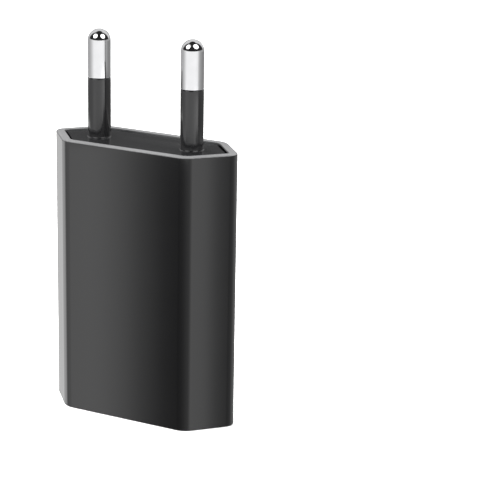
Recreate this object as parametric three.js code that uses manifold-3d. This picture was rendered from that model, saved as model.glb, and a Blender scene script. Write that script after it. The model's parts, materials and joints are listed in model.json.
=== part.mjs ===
// A slim two-pin wall charger with one USB-A socket, in millimetres, +Z towards the pins.
// The origin is the centre of the socket-end rim, on which the charger stands.
// The width runs along X and the thickness along Y; the tongue of the socket is on the -Y side.
import * as THREE from "three";
import { mergeVertices } from "three/addons/utils/BufferGeometryUtils.js";
import Module from "manifold-3d";

const wasm = await Module();
wasm.setup();

// ---- driving dimensions ----
const bodyLength = 49.0;
const sideTip = 18.7; // half width at the side edge, before that edge is rounded
const flatHalf = 12.2; // half width of the flat front and back faces
const halfThick = 7.2;
const broadRadius = 3.0; // where a flat face turns into a slanted one
const sideRadius = 2.0; // where two slanted faces meet
const rimWall = 1.5;
const innerWall = 2.1; // the wall is thicker between the two end plates, as a shoulder
const gap = 0.3;

const plateThick = 2.0;
const pinPlateTop = bodyLength - 0.25;
const pinPlateBottom = pinPlateTop - plateThick;
const portPlateFront = 0.6;
const portPlateThick = 1.6;
const portPlateBack = portPlateFront + portPlateThick;

const pinSpacing = 18.6;
const pinLength = 19.0;
const pinRadius = 2.0;
const collarRadius = 2.02;
const collarLength = 10.5;
const collarBore = 1.6;
const shankRadius = 1.3;
const pinTail = 43.3;

const portWidth = 12.5;
const portHeight = 5.12;
const shellWall = 0.3;
const shellFront = 0.9;
const shellLength = 13.4;
const tongueWidth = 11.1;
const tongueThick = 1.84;
const tongueTop = -portHeight / 2 + 0.65;
const tongueBottom = tongueTop + tongueThick;
const tongueFront = 2.1;
const contactPlaces = [-3.5, -1.0, 1.0, 3.5];
const contactWidth = 0.9;
const contactThick = 0.25;
const contactRoot = 11.0;
const gripPlace = 3.4;
const gripWidth = 2.2;
const gripRoot = 8.5;
const gripTip = 3.3;

const boardFront = 3.4;
const boardThick = 0.8;
const boardHalf = 11.4;
const boardLow = 3.2;
const boardHigh = 41.5;
const partSeat = boardFront - gap; // where the components stand on the board

// ---- materials ----
function finish(colour, roughness, metalness) {
  return new THREE.MeshStandardMaterial({ color: colour, roughness: roughness, metalness: metalness });
}
const satinBlack = () => finish(0x2a2a2c, 0.42, 0);
const glossBlack = () => finish(0x1c1c1e, 0.22, 0);
const nickel = () => finish(0xc9c9cc, 0.22, 1);
const brass = () => finish(0xb89a55, 0.35, 1);
const ivoryPlastic = () => finish(0xf2f2f0, 0.45, 0);
const boardGreen = () => finish(0x2d5a38, 0.6, 0);
const ferrite = () => finish(0x3a3a3c, 0.8, 0);
const tapeYellow = () => finish(0xd8b93a, 0.5, 0);
const copper = () => finish(0xb8703a, 0.4, 1);
const canSleeve = () => finish(0x26314a, 0.4, 0);
const ceramicBlue = () => finish(0x2f6ea8, 0.5, 0);
const chipBlack = () => finish(0x161616, 0.6, 0);
const resistorGreen = () => finish(0x4f7d5a, 0.6, 0);

// ---- solid helpers ----
function toSolid(geometry) {
  const bare = geometry.clone();
  bare.deleteAttribute("normal");
  bare.deleteAttribute("uv");
  const merged = mergeVertices(bare, 1e-4);
  const faces = merged.index ? merged.index.array : merged.attributes.position.array.keys();
  return new wasm.Manifold(
    new wasm.Mesh({
      numProp: 3,
      vertProperties: new Float32Array(merged.attributes.position.array),
      triVerts: new Uint32Array(faces),
    }),
  );
}

function fromSolid(solid) {
  const mesh = solid.getMesh();
  const geometry = new THREE.BufferGeometry();
  geometry.setAttribute("position", new THREE.BufferAttribute(new Float32Array(mesh.vertProperties), 3));
  geometry.setIndex(new THREE.BufferAttribute(new Uint32Array(mesh.triVerts), 1));
  geometry.computeVertexNormals();
  return geometry;
}

function cut(geometry, tools) {
  let solid = toSolid(geometry);
  for (const tool of tools) solid = solid.subtract(toSolid(tool));
  return fromSolid(solid);
}

function join(geometries) {
  let solid = toSolid(geometries[0]);
  for (const other of geometries.slice(1)) solid = solid.add(toSolid(other));
  return fromSolid(solid);
}

function block(x, y, z) {
  const geometry = new THREE.BoxGeometry(x[1] - x[0], y[1] - y[0], z[1] - z[0]);
  return geometry.translate((x[0] + x[1]) / 2, (y[0] + y[1]) / 2, (z[0] + z[1]) / 2);
}

function upright(radius, low, high, sides = 24) {
  const geometry = new THREE.CylinderGeometry(radius, radius, high - low, sides);
  return geometry.rotateX(Math.PI / 2).translate(0, 0, (low + high) / 2);
}

function turned(profile, sides = 24) {
  const points = profile.map(([radius, height]) => new THREE.Vector2(radius, height));
  return new THREE.LatheGeometry(points, sides).rotateX(Math.PI / 2);
}

// A flat outline in the YZ plane, given as [y, z] points, made wide along X.
function sideways(outline, width) {
  const shape = new THREE.Shape(outline.map(([y, z]) => new THREE.Vector2(y, z)));
  const geometry = new THREE.ExtrudeGeometry(shape, { depth: width, bevelEnabled: false });
  return geometry.translate(0, 0, -width / 2).applyMatrix4(
    new THREE.Matrix4().makeBasis(
      new THREE.Vector3(0, 1, 0),
      new THREE.Vector3(0, 0, 1),
      new THREE.Vector3(1, 0, 0),
    ),
  );
}

// A bent strip of even thickness along a line of [y, z] points, made wide along X.
function strip(line, thick, width) {
  const sideOf = (sign) =>
    line.map(([y, z], i) => {
      const before = line[Math.max(i - 1, 0)];
      const after = line[Math.min(i + 1, line.length - 1)];
      const run = Math.hypot(after[0] - before[0], after[1] - before[1]);
      const shift = (sign * thick) / 2 / run;
      return [y - (after[1] - before[1]) * shift, z + (after[0] - before[0]) * shift];
    });
  return sideways([...sideOf(-1), ...sideOf(1).reverse()], width);
}

// ---- the six-sided outline ----
function roundCorner(before, corner, after, radius, steps) {
  const back = before.clone().sub(corner).normalize();
  const ahead = after.clone().sub(corner).normalize();
  const half = Math.acos(back.dot(ahead)) / 2;
  const centre = back.clone().add(ahead).normalize().multiplyScalar(radius / Math.sin(half)).add(corner);
  const start = back.multiplyScalar(radius / Math.tan(half)).add(corner).sub(centre);
  const turn = Math.PI - 2 * half;
  return Array.from({ length: steps + 1 }, (_, i) =>
    start.clone().rotateAround(new THREE.Vector2(), (turn * i) / steps).add(centre),
  );
}

function hexOutline(inset) {
  const slant = Math.atan2(halfThick, sideTip - flatHalf);
  const tip = sideTip - inset / Math.sin(slant);
  const thick = halfThick - inset;
  const flat = tip - thick / Math.tan(slant);
  const corners = [
    [tip, 0, sideRadius], [flat, thick, broadRadius], [-flat, thick, broadRadius],
    [-tip, 0, sideRadius], [-flat, -thick, broadRadius], [flat, -thick, broadRadius],
  ];
  const at = (i) => new THREE.Vector2(...corners[(i + 6) % 6].slice(0, 2));
  return corners.flatMap((corner, i) =>
    roundCorner(at(i - 1), at(i), at(i + 1), Math.max(corner[2] - inset, 0.4), 5),
  );
}

// Rings of equal length joined by a skin; each ring is [inset, height].
function hexLoft(rings, closedLoop) {
  const rows = rings.map(([inset, height]) => hexOutline(inset).map((p) => [p.x, p.y, height]));
  const count = rows[0].length;
  const faces = [];
  const joined = closedLoop ? rows.length : rows.length - 1;
  for (let r = 0; r < joined; r++) {
    const here = r * count;
    const next = ((r + 1) % rows.length) * count;
    for (let i = 0; i < count; i++) {
      const j = (i + 1) % count;
      faces.push(here + i, here + j, next + j, here + i, next + j, next + i);
    }
  }
  if (!closedLoop) {
    const last = (rows.length - 1) * count;
    for (let i = 1; i < count - 1; i++) {
      faces.push(0, i + 1, i, last, last + i, last + i + 1);
    }
  }
  const geometry = new THREE.BufferGeometry();
  geometry.setAttribute("position", new THREE.Float32BufferAttribute(rows.flat(2), 3));
  geometry.setIndex(faces);
  return geometry;
}

// ---- the assembly ----
const charger = new THREE.Group();

function place(parent, name, geometry, material, x = 0, y = 0, z = 0) {
  const mesh = new THREE.Mesh(geometry, material);
  mesh.name = name;
  mesh.position.set(x, y, z);
  parent.add(mesh);
}

function addHousing() {
  const shoulderLow = portPlateBack + gap;
  const shoulderHigh = pinPlateBottom - gap;
  const tube = hexLoft(
    [
      [0.25, 0], [0.07, 0.07], [0, 0.25],
      [0, bodyLength - 0.35], [0.1, bodyLength - 0.1], [0.35, bodyLength],
      [rimWall, bodyLength], [rimWall, shoulderHigh], [innerWall, shoulderHigh],
      [innerWall, shoulderLow], [rimWall, shoulderLow], [rimWall, 0],
    ],
    true,
  );
  // two ribs hold the back of the board off the wall
  const ribs = [-1, 1].map((side) =>
    block([side * 10.1 - 0.5, side * 10.1 + 0.5], [boardFront + boardThick + gap, 5.6], [8, 38]),
  );
  place(charger, "housing_sleeve", join([tube, ...ribs]), satinBlack());
}

function addPinPlate() {
  const inset = rimWall + gap;
  const slab = hexLoft(
    [[inset, pinPlateBottom], [inset, pinPlateTop - 0.2], [inset + 0.2, pinPlateTop]],
    false,
  );
  const skirtOut = innerWall + gap;
  const skirt = hexLoft(
    [
      [skirtOut, pinPlateBottom - 1.5], [skirtOut, pinPlateBottom + 0.5],
      [skirtOut + 1, pinPlateBottom + 0.5], [skirtOut + 1, pinPlateBottom - 1.5],
    ],
    true,
  );
  const sides = [-pinSpacing / 2, pinSpacing / 2];
  const bosses = sides.map((x) => upright(3.35, 44.4, pinPlateBottom + 0.5).translate(x, 0, 0));
  const holes = sides.map((x) => upright(collarRadius + gap, 40, bodyLength + 1).translate(x, 0, 0));
  place(charger, "pin_base_plate", cut(join([slab, skirt, ...bosses]), holes), glossBlack());
}

function addPortPlate() {
  const inset = rimWall + gap;
  const slab = hexLoft(
    [[inset + 0.2, portPlateFront], [inset, portPlateFront + 0.2], [inset, portPlateBack]],
    false,
  );
  const reachX = portWidth / 2 + shellWall + gap;
  const reachY = portHeight / 2 + shellWall + gap;
  const window = block([-reachX, reachX], [-reachY, reachY], [-1, 5]);
  place(charger, "usb_face_plate", cut(slab, [window]), glossBlack());
}

function addPin(side, name) {
  const x = (side * pinSpacing) / 2;
  const collarTop = pinPlateTop + collarLength;
  const tip = pinPlateTop + pinLength;
  const dome = Array.from({ length: 7 }, (_, i) => {
    const angle = (i / 6) * (Math.PI / 2);
    return [pinRadius * Math.cos(angle), tip - pinRadius + pinRadius * Math.sin(angle)];
  });
  dome[6][0] = 0;
  const metal = turned([
    [0, pinTail], [shankRadius, pinTail], [shankRadius, collarTop + gap],
    [pinRadius - 0.15, collarTop + gap], [pinRadius, collarTop + gap + 0.15], ...dome,
  ]);
  place(charger, "plug_pin_" + name, metal, nickel(), x, 0, 0);
  const collarLow = 44.7;
  const collar = turned([
    [collarBore, collarLow], [collarRadius, collarLow], [collarRadius, collarTop - 0.15],
    [collarRadius - 0.15, collarTop], [collarBore, collarTop], [collarBore, collarLow],
  ]);
  place(charger, "pin_insulation_" + name, collar, glossBlack(), x, 0, 0);
  const padHeight = pinTail - gap - 0.25;
  const clip = strip(
    [[-1.6, padHeight], [2.0, padHeight], [2.6, padHeight - 0.5], [partSeat - 0.25, 41.8], [partSeat - 0.25, 38.2]],
    0.5,
    2.8,
  );
  place(charger, "pin_contact_" + name, clip, brass(), side * 9.9, 0, 0);
}

function addBoard(board) {
  const slab = block([-boardHalf, boardHalf], [boardFront, boardFront + boardThick], [boardLow, boardHigh]);
  place(board, "main_circuit_board", slab, boardGreen());
}

// An E-shaped ferrite half; the back of the E is at z = 0 and its legs run to -Z.
function coreHalf() {
  const legs = [
    [-7, 0], [-7, -6.3], [-5, -6.3], [-5, -2.2], [-1.6, -2.2], [-1.6, -6.3],
    [1.6, -6.3], [1.6, -2.2], [5, -2.2], [5, -6.3], [7, -6.3], [7, 0],
  ];
  const shape = new THREE.Shape(legs.map(([x, z]) => new THREE.Vector2(x, z)));
  const geometry = new THREE.ExtrudeGeometry(shape, { depth: 3.6, bevelEnabled: false });
  return geometry.translate(0, 0, -1.8).rotateX(Math.PI / 2);
}

// A square tube round the centre leg, along Z.
function sleeveRound(inX, inY, wall, half) {
  const outer = block([-inX - wall, inX + wall], [-inY - wall, inY + wall], [-half, half]);
  return cut(outer, [block([-inX, inX], [-inY, inY], [-half - 1, half + 1])]);
}

function addTransformer(board) {
  const unit = new THREE.Group();
  unit.position.set(0, partSeat - 3.9, 22.2);
  board.add(unit);
  place(unit, "transformer_core_upper", coreHalf(), ferrite(), 0, 0, 6.45);
  place(unit, "transformer_core_lower", coreHalf().rotateY(Math.PI), ferrite(), 0, 0, -6.45);
  const flanges = [-1, 1].map((end) =>
    block([-4.8, 4.8], [-3.8, 3.8], [end * 3.75 - 0.3, end * 3.75 + 0.3]),
  );
  const through = block([-1.75, 1.75], [-1.95, 1.95], [-5, 5]);
  const bobbin = cut(join([sleeveRound(1.75, 1.95, 0.45, 3.8), ...flanges]), [through]);
  place(unit, "transformer_bobbin", bobbin, ivoryPlastic());
  place(unit, "transformer_winding", sleeveRound(2.35, 2.55, 0.7, 3.3), copper());
  place(unit, "transformer_tape", sleeveRound(3.2, 3.4, 0.3, 3.3), tapeYellow());
}

// A round can lying along Z, with its crimped groove near one end.
function canShape(radius, length) {
  return turned(
    [
      [0, 0], [radius - 0.4, 0], [radius, 0.4], [radius, 1.3], [radius - 0.3, 1.6],
      [radius, 1.9], [radius, length - 0.4], [radius - 0.4, length], [0, length],
    ],
    20,
  );
}

function addCapacitors(board) {
  const mainRadius = 3.6;
  for (const [i, side] of [-1, 1].entries()) {
    const shape = canShape(mainRadius, 8.4);
    place(board, "input_capacitor_" + (i + 1), shape, canSleeve(), side * 4.0, partSeat - mainRadius, 29.4);
  }
  const smallRadius = 2.5;
  const lows = [16, 4.2];
  const lengths = [11, 9];
  for (const i of [0, 1]) {
    const shape = canShape(smallRadius, lengths[i]);
    place(board, "output_capacitor_" + (i + 1), shape, canSleeve(), -10.1, partSeat - smallRadius, lows[i]);
  }
}

function addMainsParts(board) {
  const resistor = turned(
    [[0, 0], [0.9, 0], [1.3, 0.5], [1.3, 1.2], [1.1, 1.5], [1.1, 5.3], [1.3, 5.6], [1.3, 6.3], [0.9, 6.8], [0, 6.8]],
    16,
  );
  place(board, "fusible_resistor", resistor, resistorGreen(), -9.6, partSeat - 1.3, 29.6);
  const bridge = block([-1.4, 1.4], [-1.5, 0], [-2.5, 2.5]);
  place(board, "bridge_rectifier", bridge, chipBlack(), 9.7, partSeat, 33);
  const disc = turned([[0, 0], [2.4, 0], [2.9, 0.5], [2.9, 1.7], [2.4, 2.2], [0, 2.2]], 20);
  disc.rotateY(Math.PI / 2);
  place(board, "safety_capacitor", disc, ceramicBlue(), 8.1, partSeat - 2.9, 18.6);
  const transistor = join([
    block([0, 2.2], [-6.0, -1.0], [-3.2, 3.2]),
    block([0.2, 0.7], [-6.6, -0.9], [-2.6, 2.6]),
    ...[-2, 0, 2].map((z) => block([0.9, 1.4], [-1.1, 0], [z - 0.4, z + 0.4])),
  ]);
  place(board, "power_transistor", transistor, chipBlack(), 8.0, partSeat, 25.6);
}

function addOutputParts(board) {
  const spool = turned(
    [[0, 0], [2.4, 0], [2.4, 0.9], [1.3, 0.9], [1.3, 5.1], [2.4, 5.1], [2.4, 6], [0, 6]],
    20,
  );
  place(board, "output_choke_core", spool, ferrite(), 9.6, partSeat - 2.4, 4.4);
  const coil = turned([[1.6, 1.2], [2.2, 1.2], [2.2, 4.8], [1.6, 4.8], [1.6, 1.2]], 20);
  place(board, "output_choke_winding", coil, copper(), 9.6, partSeat - 2.4, 4.4);
  const diode = block([-1.8, 1.8], [-2.1, 0], [-1.3, 1.3]);
  place(board, "output_diode", diode, chipBlack(), 9.4, partSeat, 12.4);
}

function addBackParts(board) {
  const seat = boardFront + boardThick + 0.15;
  const chip = block([-2, 2], [0, 0.6], [-2.5, 2.5]);
  place(board, "controller_chip", chip, chipBlack(), 0, seat, 24);
  const places = [[-5.5, 28], [5.5, 28], [-5.5, 16], [5.5, 16]];
  for (const [i, [x, z]] of places.entries()) {
    const chipResistor = block([-0.8, 0.8], [0, 0.5], [-0.4, 0.4]);
    place(board, "chip_resistor_" + (i + 1), chipResistor, chipBlack(), x, seat, z);
  }
}

function addPortShell(port) {
  const outX = portWidth / 2 + shellWall;
  const outY = portHeight / 2 + shellWall;
  const back = shellFront + shellLength;
  const tube = block([-outX, outX], [-outY, outY], [shellFront, back]);
  const hollow = block([-portWidth / 2, portWidth / 2], [-portHeight / 2, portHeight / 2], [0, back + 1]);
  const reach = gripWidth / 2 + gap;
  const windows = [-gripPlace, gripPlace].map((x) =>
    block([x - reach, x + reach], [-4, 4], [gripTip - gap, gripRoot + gap]),
  );
  place(port, "usb_shell", cut(tube, [hollow, ...windows]), nickel());
}

function addPortInsulator(port) {
  const half = tongueWidth / 2;
  const noseRun = 0.5;
  const tongue = sideways(
    [
      [tongueTop + noseRun, tongueFront], [tongueBottom - 0.15, tongueFront], [tongueBottom, tongueFront + 0.3],
      [tongueBottom, 12.6], [tongueTop, 12.6], [tongueTop, tongueFront + 0.9],
    ],
    tongueWidth,
  );
  const blockX = portWidth / 2 - gap;
  const blockY = portHeight / 2 - gap;
  const rear = block([-blockX, blockX], [-blockY, blockY], [11.9, shellFront + shellLength - gap]);
  const slotHalf = contactWidth / 2 + gap;
  const slots = contactPlaces.map((x) =>
    block([x - slotHalf, x + slotHalf], [tongueBottom - 1.2, tongueBottom + 1], [tongueFront + 0.5, 11.6]),
  );
  const corners = [-1, 1].map((side) =>
    block([side * half - 0.25, side * half + 0.25], [tongueTop - 1, tongueBottom + 1], [tongueFront - 1, tongueFront + 0.4]),
  );
  place(port, "usb_tongue", cut(join([tongue, rear]), [...slots, ...corners]), ivoryPlastic());
}

function addPortContacts(port) {
  const rootY = tongueBottom - 0.5;
  const line = [
    [rootY, contactRoot + 0.3], [rootY, contactRoot - 0.5], [rootY + 0.35, 7.2], [tongueBottom + 0.22, 4.9],
    [tongueBottom + 0.26, 4.5], [tongueBottom + 0.1, 4.1], [rootY + 0.05, 3.3], [rootY - 0.05, 3.0],
  ];
  for (const [i, x] of contactPlaces.entries()) {
    place(port, "usb_contact_" + (i + 1), strip(line, contactThick, contactWidth), brass(), x, 0, 0);
  }
}

function addGripSprings(port) {
  const wallMiddle = portHeight / 2 + shellWall / 2;
  for (const [face, side] of [["front", -1], ["back", 1]]) {
    const line = [
      [wallMiddle, gripRoot], [wallMiddle - 0.03, gripRoot - 0.6], [wallMiddle - 0.3, 5.1],
      [wallMiddle - 0.36, 4.6], [wallMiddle - 0.32, 4.1], [wallMiddle - 0.16, gripTip],
    ].map(([y, z]) => [y * side, z]);
    for (const [hand, x] of [["left", -gripPlace], ["right", gripPlace]]) {
      const name = "usb_grip_spring_" + face + "_" + hand;
      place(port, name, strip(side < 0 ? line : line.toReversed(), shellWall, gripWidth), nickel(), x, 0, 0);
    }
  }
}

addHousing();
addPinPlate();
addPortPlate();
addPin(-1, "left");
addPin(1, "right");

const board = new THREE.Group();
charger.add(board);
addBoard(board);
addTransformer(board);
addCapacitors(board);
addMainsParts(board);
addOutputParts(board);
addBackParts(board);

const port = new THREE.Group();
charger.add(port);
addPortShell(port);
addPortInsulator(port);
addPortContacts(port);
addGripSprings(port);

export default charger;
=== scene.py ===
import json
from math import atan2, cos, pi, radians, sin, tan

import bmesh
import bpy
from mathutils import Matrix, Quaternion, Vector

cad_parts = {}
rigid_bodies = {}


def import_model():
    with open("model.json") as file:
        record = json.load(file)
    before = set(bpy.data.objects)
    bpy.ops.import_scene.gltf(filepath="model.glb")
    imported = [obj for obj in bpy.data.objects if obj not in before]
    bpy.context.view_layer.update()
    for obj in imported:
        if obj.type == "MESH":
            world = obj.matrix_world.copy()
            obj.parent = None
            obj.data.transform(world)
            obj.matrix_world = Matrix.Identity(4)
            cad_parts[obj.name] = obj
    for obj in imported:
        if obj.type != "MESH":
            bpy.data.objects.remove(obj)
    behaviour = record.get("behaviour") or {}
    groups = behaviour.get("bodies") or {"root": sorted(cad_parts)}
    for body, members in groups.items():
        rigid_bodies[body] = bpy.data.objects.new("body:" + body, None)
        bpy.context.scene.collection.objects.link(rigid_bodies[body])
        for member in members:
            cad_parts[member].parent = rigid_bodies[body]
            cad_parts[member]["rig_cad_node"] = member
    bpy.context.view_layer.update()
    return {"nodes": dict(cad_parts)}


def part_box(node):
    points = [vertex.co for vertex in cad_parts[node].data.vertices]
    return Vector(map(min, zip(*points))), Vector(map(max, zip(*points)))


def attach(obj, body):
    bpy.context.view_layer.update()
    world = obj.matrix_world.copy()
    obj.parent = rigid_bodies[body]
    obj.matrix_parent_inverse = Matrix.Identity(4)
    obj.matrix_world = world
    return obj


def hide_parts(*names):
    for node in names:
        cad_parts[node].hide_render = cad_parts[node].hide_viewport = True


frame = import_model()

mm = 0.001
tiny = 1e-6
mainBody = "charger_body"


# modelling tools
def deselectAll():
    if bpy.context.object and bpy.context.object.mode != "OBJECT":
        bpy.ops.object.mode_set(mode="OBJECT")
    bpy.ops.object.select_all(action="DESELECT")


def applyPlace():
    bpy.ops.object.transform_apply(location=True, rotation=True, scale=True)


def startBox(name, x, y, z):  # a box between two values on each axis, left in edit mode
    deselectAll()
    centre = [(a + b) / 2 * mm for a, b in (x, y, z)]
    size = [(b - a) * mm for a, b in (x, y, z)]
    bpy.ops.mesh.primitive_cube_add(size=1, location=centre, scale=size)
    applyPlace()
    bpy.context.object.name = name
    bpy.context.object.data.name = name
    bpy.ops.object.mode_set(mode="EDIT")
    return bpy.context.object


def choose(kind, test):  # selects the faces or edges that pass a test
    bpy.ops.mesh.select_mode(type=kind)
    bpy.ops.mesh.select_all(action="DESELECT")
    mesh = bmesh.from_edit_mesh(bpy.context.object.data)
    mesh.normal_update()
    for item in mesh.faces if kind == "FACE" else mesh.edges:
        if test(item):
            item.select_set(True)
    mesh.select_flush_mode()
    bmesh.update_edit_mesh(bpy.context.object.data)


def chooseFaces(test):  # test(normal, middle in mm)
    choose("FACE", lambda f: test(f.normal, f.calc_center_median() / mm))


def chooseEdges(test):  # test(one end, other end), both in mm
    choose("EDGE", lambda e: test(e.verts[0].co / mm, e.verts[1].co / mm))


def extrude(x=0, y=0, z=0):
    bpy.ops.mesh.extrude_region_move(TRANSFORM_OT_translate={"value": (x * mm, y * mm, z * mm)})


def inset(thick):
    bpy.ops.mesh.inset(thickness=thick * mm, use_even_offset=True)


def bevel(width, steps=4):
    bpy.ops.mesh.bevel(offset=width * mm, segments=steps, affect="EDGES", clamp_overlap=False)


def weld():
    bpy.ops.mesh.select_all(action="SELECT")
    bpy.ops.mesh.remove_doubles(threshold=tiny)


def faceOutwards():
    bpy.ops.mesh.select_all(action="SELECT")
    bpy.ops.mesh.normals_make_consistent(inside=False)


def addModifier(piece, kind, **settings):
    deselectAll()
    piece.select_set(True)
    bpy.context.view_layer.objects.active = piece
    modifier = piece.modifiers.new(kind.lower(), kind)
    for key, value in settings.items():
        setattr(modifier, key, value)
    bpy.ops.object.modifier_apply(modifier=modifier.name)


def combine(piece, other, operation):  # joins or cuts with another piece, which is then removed
    addModifier(piece, "BOOLEAN", object=other, operation=operation, solver="EXACT")
    bpy.data.objects.remove(other)


def joinPieces(pieces, name):
    deselectAll()
    for piece in pieces:
        piece.select_set(True)
    bpy.context.view_layer.objects.active = pieces[0]
    bpy.ops.object.join()
    pieces[0].name = name
    return pieces[0]


def copyPiece(piece, name, x=0, y=0, z=0):
    deselectAll()
    piece.select_set(True)
    bpy.context.view_layer.objects.active = piece
    bpy.ops.object.duplicate()
    other = bpy.context.object
    other.name = name
    other.data.name = name
    other.location = (x * mm, y * mm, z * mm)
    applyPlace()
    return other


def startSpin(name, profile, place=(0, 0), steps=64):
    # one point is drawn out along [radius, height] pairs and spun about an upright line
    deselectAll()
    x, y = place
    first = profile[0]
    bpy.ops.mesh.primitive_plane_add(size=0.1 * mm, location=((x + first[0]) * mm, y * mm, first[1] * mm))
    applyPlace()
    bpy.context.object.name = name
    bpy.context.object.data.name = name
    bpy.ops.object.mode_set(mode="EDIT")
    bpy.ops.mesh.select_mode(type="VERT")
    bpy.ops.mesh.select_all(action="SELECT")
    bpy.ops.mesh.merge(type="CENTER")
    for before, after in zip(profile, profile[1:]):
        step = ((after[0] - before[0]) * mm, 0, (after[1] - before[1]) * mm)
        bpy.ops.mesh.extrude_vertices_move(TRANSFORM_OT_translate={"value": step})
    bpy.ops.mesh.select_all(action="SELECT")
    bpy.ops.mesh.spin(steps=steps, angle=2 * pi, center=(x * mm, y * mm, 0), axis=(0, 0, 1))
    weld()
    bpy.ops.mesh.dissolve_degenerate(threshold=tiny)
    faceOutwards()
    return bpy.context.object


def arc(centre, radius, start, end, steps):  # points of an arc, angles in degrees
    turns = [radians(start + (end - start) * i / steps) for i in range(steps + 1)]
    return [(centre[0] + radius * cos(t), centre[1] + radius * sin(t)) for t in turns]


def finishPiece(piece, finish, replaced=(), body=mainBody, smooth=35):
    deselectAll()
    piece.select_set(True)
    bpy.context.view_layer.objects.active = piece
    bpy.ops.object.shade_smooth_by_angle(angle=radians(smooth))
    addModifier(piece, "WEIGHTED_NORMAL", keep_sharp=True)
    piece.data.materials.clear()
    piece.data.materials.append(finish)
    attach(piece, body)
    if replaced:
        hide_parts(*replaced)
    return piece


# materials
def newFinish(name):
    finish = bpy.data.materials.new(name)
    finish.use_nodes = True
    return finish, finish.node_tree.nodes, finish.node_tree.links, finish.node_tree.nodes["Principled BSDF"]


def noise(nodes, links, scale, detail=3.0, stretch=(1, 1, 1), rough=0.55):
    # noise on the piece's own coordinates; scale is in cells per millimetre
    place = nodes.new("ShaderNodeTexCoord")
    mapping = nodes.new("ShaderNodeMapping")
    mapping.inputs["Scale"].default_value = [s / mm for s in stretch]
    texture = nodes.new("ShaderNodeTexNoise")
    texture.inputs["Scale"].default_value = scale
    texture.inputs["Detail"].default_value = detail
    texture.inputs["Roughness"].default_value = rough
    links.new(place.outputs["Object"], mapping.inputs["Vector"])
    links.new(mapping.outputs["Vector"], texture.inputs["Vector"])
    return texture.outputs["Fac"]


def spread(nodes, links, source, low, high, fromLow=0.3, fromHigh=0.7):
    ranged = nodes.new("ShaderNodeMapRange")
    for key, value in (("From Min", fromLow), ("From Max", fromHigh), ("To Min", low), ("To Max", high)):
        ranged.inputs[key].default_value = value
    links.new(source, ranged.inputs["Value"])
    return ranged.outputs["Result"]


def twoTones(nodes, links, source, dark, light):
    mix = nodes.new("ShaderNodeMix")
    mix.data_type = "RGBA"
    mix.inputs["A"].default_value = (*dark, 1)
    mix.inputs["B"].default_value = (*light, 1)
    links.new(source, mix.inputs["Factor"])
    return mix.outputs["Result"]


def addBump(nodes, links, source, depth, shader, strength=1.0):  # depth in mm
    bump = nodes.new("ShaderNodeBump")
    bump.inputs["Distance"].default_value = depth * mm
    bump.inputs["Strength"].default_value = strength
    links.new(source, bump.inputs["Height"])
    links.new(bump.outputs["Normal"], shader.inputs["Normal"])


def mouldedFinish(name, look):
    # moulded plastic: a faint cloudiness in its tone and gloss, and a fine spark-eroded grain
    finish, nodes, links, shader = newFinish(name)
    cloud = noise(nodes, links, look["cloud"], 4)
    grain = noise(nodes, links, look["grain"], 2)
    links.new(twoTones(nodes, links, cloud, look["dark"], look["light"]), shader.inputs["Base Color"])
    links.new(spread(nodes, links, cloud, *look["rough"]), shader.inputs["Roughness"])
    shader.inputs["IOR"].default_value = look.get("ior", 1.5)
    shader.inputs["Specular IOR Level"].default_value = look.get("specular", 0.5)
    shader.inputs["Coat Weight"].default_value = look.get("coat", 0.0)
    shader.inputs["Coat Roughness"].default_value = look.get("coatRough", 0.1)
    addBump(nodes, links, grain, look["depth"], shader)
    return finish


def metalFinish(name, look):
    # metal with fine tool marks: the noise is stretched along the marks
    finish, nodes, links, shader = newFinish(name)
    marks = noise(nodes, links, look["marks"], 4, look["stretch"])
    cloud = noise(nodes, links, look.get("cloud", 0.5), 3)
    links.new(twoTones(nodes, links, cloud, look["dark"], look["light"]), shader.inputs["Base Color"])
    links.new(spread(nodes, links, marks, *look["rough"]), shader.inputs["Roughness"])
    shader.inputs["Metallic"].default_value = 1.0
    addBump(nodes, links, marks, look["depth"], shader)
    return finish


# the six-sided body
hexShape = {
    "sideTip": 18.7,  # half width before the side edge is rounded
    "flatHalf": 12.2,
    "broadRadius": 3.0,
    "sideRadius": 2.0,
    "roundSteps": 14,
}
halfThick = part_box("housing_sleeve")[1].y / mm
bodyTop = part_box("housing_sleeve")[1].z / mm


def startHex(name, margin, low, high):
    # a six-sided block with rounded upright edges, a margin smaller all round than the sleeve
    slant = atan2(halfThick, hexShape["sideTip"] - hexShape["flatHalf"])
    thick = halfThick - margin
    tip = hexShape["sideTip"] - margin / sin(slant)
    flat = tip - thick / tan(slant)
    piece = startBox(name, (-flat, flat), (-thick, thick), (low, high))
    for side in (-1, 1):  # each end face is drawn out to an edge
        chooseFaces(lambda n, c: n.x * side > 0.9)
        extrude(x=side * (tip - flat))
        edge = (side * tip * mm, 0, (low + high) / 2 * mm)
        bpy.ops.transform.resize(value=(1, 0, 1), center_override=edge)
    weld()
    for side in (-1, 1):  # each cap becomes one face
        chooseFaces(lambda n, c: n.z * side > 0.9)
        bpy.ops.mesh.dissolve_faces()
    broad = max(hexShape["broadRadius"] - margin, 0.4)
    sharp = max(hexShape["sideRadius"] - margin, 0.4)
    chooseEdges(lambda a, b: abs(a.z - b.z) > 0.1 and abs(abs(a.x) - flat) < 0.01)
    bevel(broad * tan(slant / 2), hexShape["roundSteps"])
    chooseEdges(lambda a, b: abs(a.z - b.z) > 0.1 and abs(abs(a.x) - tip) < 0.01)
    bevel(sharp * tan(pi / 2 - slant), hexShape["roundSteps"])
    return piece


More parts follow.
